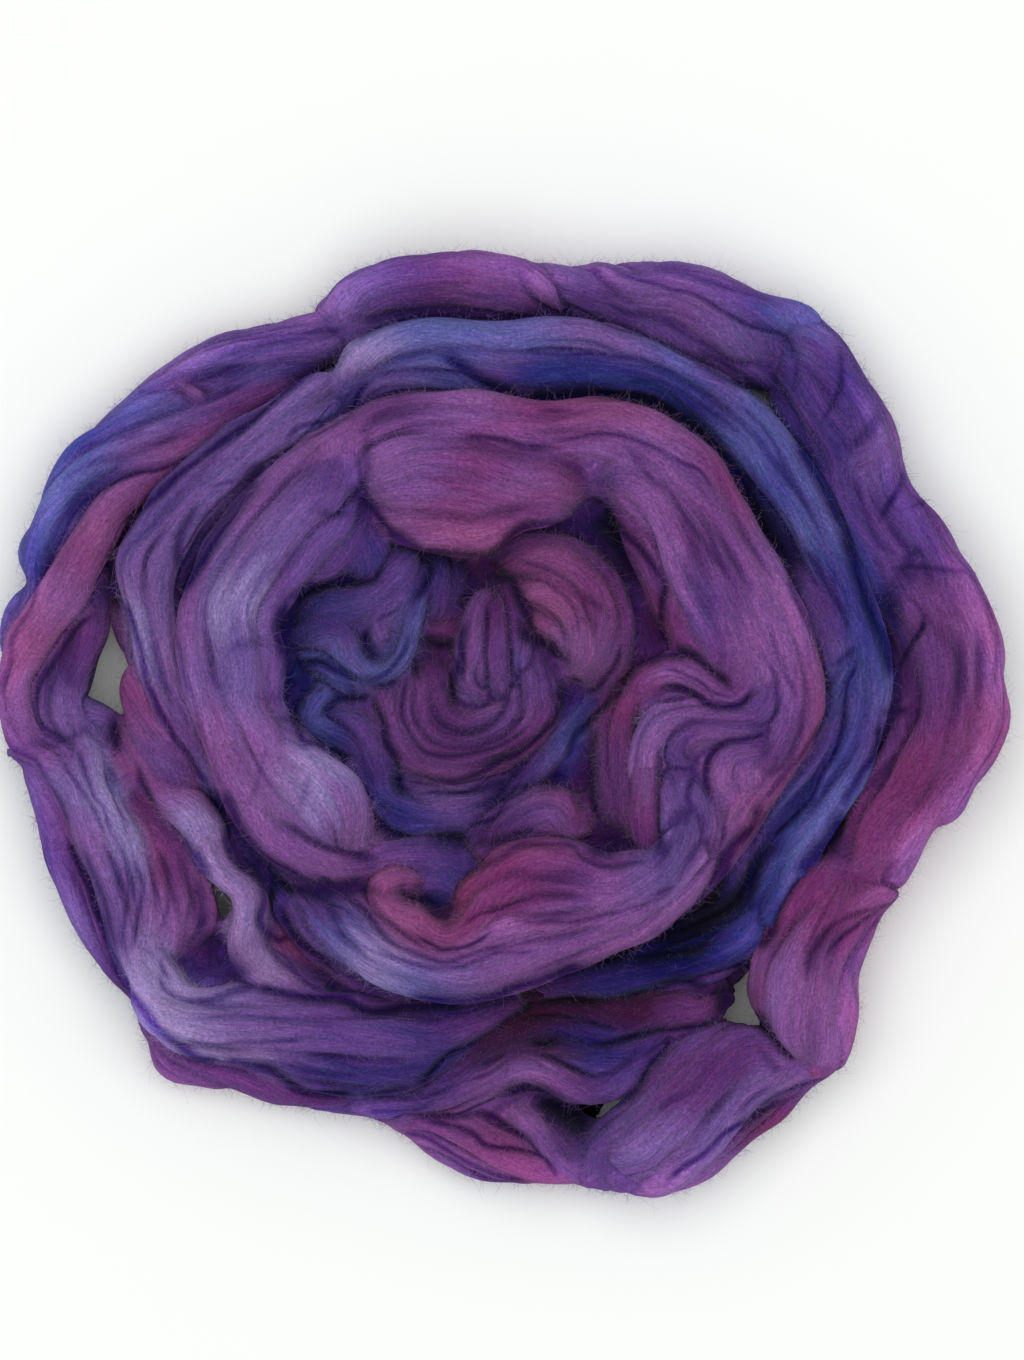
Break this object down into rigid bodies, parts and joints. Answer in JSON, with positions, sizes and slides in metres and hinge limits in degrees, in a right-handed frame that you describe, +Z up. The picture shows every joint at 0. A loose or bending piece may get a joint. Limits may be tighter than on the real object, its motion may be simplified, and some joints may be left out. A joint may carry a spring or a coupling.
{
  "type": "wool roving",
  "caption": "Dyed combed wool roving laid in a loose, folded spiral nest, flat underneath and highest around its curled heart.",
  "frame": {"origin": "middle of the nest's bounding box, on the table under it", "axes": "+Z up from the table; +X to the right and +Y away from the viewer, seen from above with the fan of folds at the front"},
  "size_m": [0.3024, 0.2836, 0.0652],
  "materials": {
    "wool": "matte dyed wool fibre with a soft sheen, violet running into plum, magenta, lilac and deep blue"
  },
  "bodies": {
    "root": {"roving_nest": "wool"}
  },
  "joints": []
}
